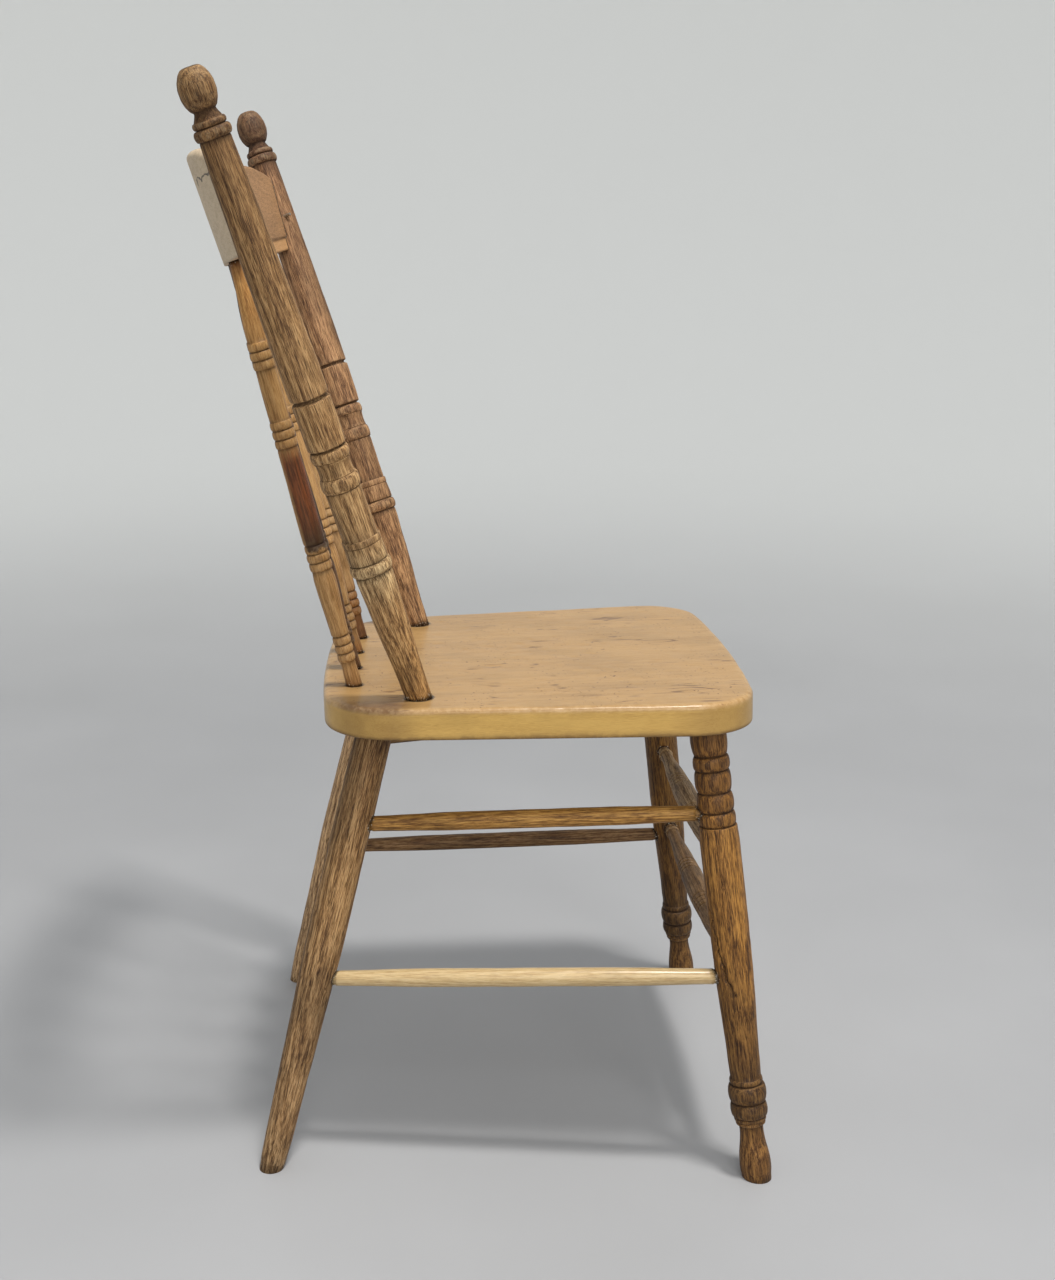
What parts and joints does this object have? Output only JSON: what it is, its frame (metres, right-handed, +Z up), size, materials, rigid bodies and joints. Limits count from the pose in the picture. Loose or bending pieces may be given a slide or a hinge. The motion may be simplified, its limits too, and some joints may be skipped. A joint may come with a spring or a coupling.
{
  "type": "dining chair",
  "caption": "Turned wooden dining chair with a plank seat, a bowed crest rail, spindles, posts with finials, raked turned legs and stretchers.",
  "frame": {"origin": "bottom centre of the chair's bounding box, on the floor", "axes": "+Z up; the chair faces -Y; +X is towards the sitter's left"},
  "size_m": [0.466, 0.5249, 0.9571],
  "materials": {
    "seat_wood": "worn clear lacquer",
    "post_right_wood": "worn matt varnish",
    "post_left_wood": "worn matt varnish",
    "crest_rail_wood": "bare aged wood",
    "spindle_1_wood": "worn satin varnish",
    "spindle_2_wood": "worn satin varnish",
    "spindle_3_wood": "worn satin varnish",
    "spindle_4_wood": "worn satin varnish",
    "leg_front_right_wood": "worn matt varnish",
    "leg_front_left_wood": "worn matt varnish",
    "leg_rear_right_wood": "worn matt varnish",
    "leg_rear_left_wood": "worn matt varnish",
    "side_stretcher_high_right_wood": "worn matt varnish",
    "side_stretcher_high_left_wood": "worn matt varnish",
    "side_stretcher_low_right_wood": "clear satin lacquer",
    "side_stretcher_low_left_wood": "worn matt varnish",
    "front_stretcher_high_wood": "worn matt varnish",
    "front_stretcher_low_wood": "worn matt varnish",
    "rear_stretcher_wood": "worn matt varnish",
    "pin_steel": "dull worn nail"
  },
  "bodies": {
    "root": {"seat": "seat_wood", "post_right": "post_right_wood", "post_left": "post_left_wood", "crest_rail": "crest_rail_wood", "spindle_1": "spindle_1_wood", "spindle_2": "spindle_2_wood", "spindle_3": "spindle_3_wood", "spindle_4": "spindle_4_wood", "leg_front_right": "leg_front_right_wood", "leg_front_left": "leg_front_left_wood", "leg_rear_right": "leg_rear_right_wood", "leg_rear_left": "leg_rear_left_wood", "side_stretcher_high_right": "side_stretcher_high_right_wood", "side_stretcher_high_left": "side_stretcher_high_left_wood", "side_stretcher_low_right": "side_stretcher_low_right_wood", "side_stretcher_low_left": "side_stretcher_low_left_wood", "front_stretcher_high": "front_stretcher_high_wood", "front_stretcher_low": "front_stretcher_low_wood", "rear_stretcher": "rear_stretcher_wood", "crest_pin_right": "pin_steel", "crest_pin_left": "pin_steel"}
  },
  "joints": []
}
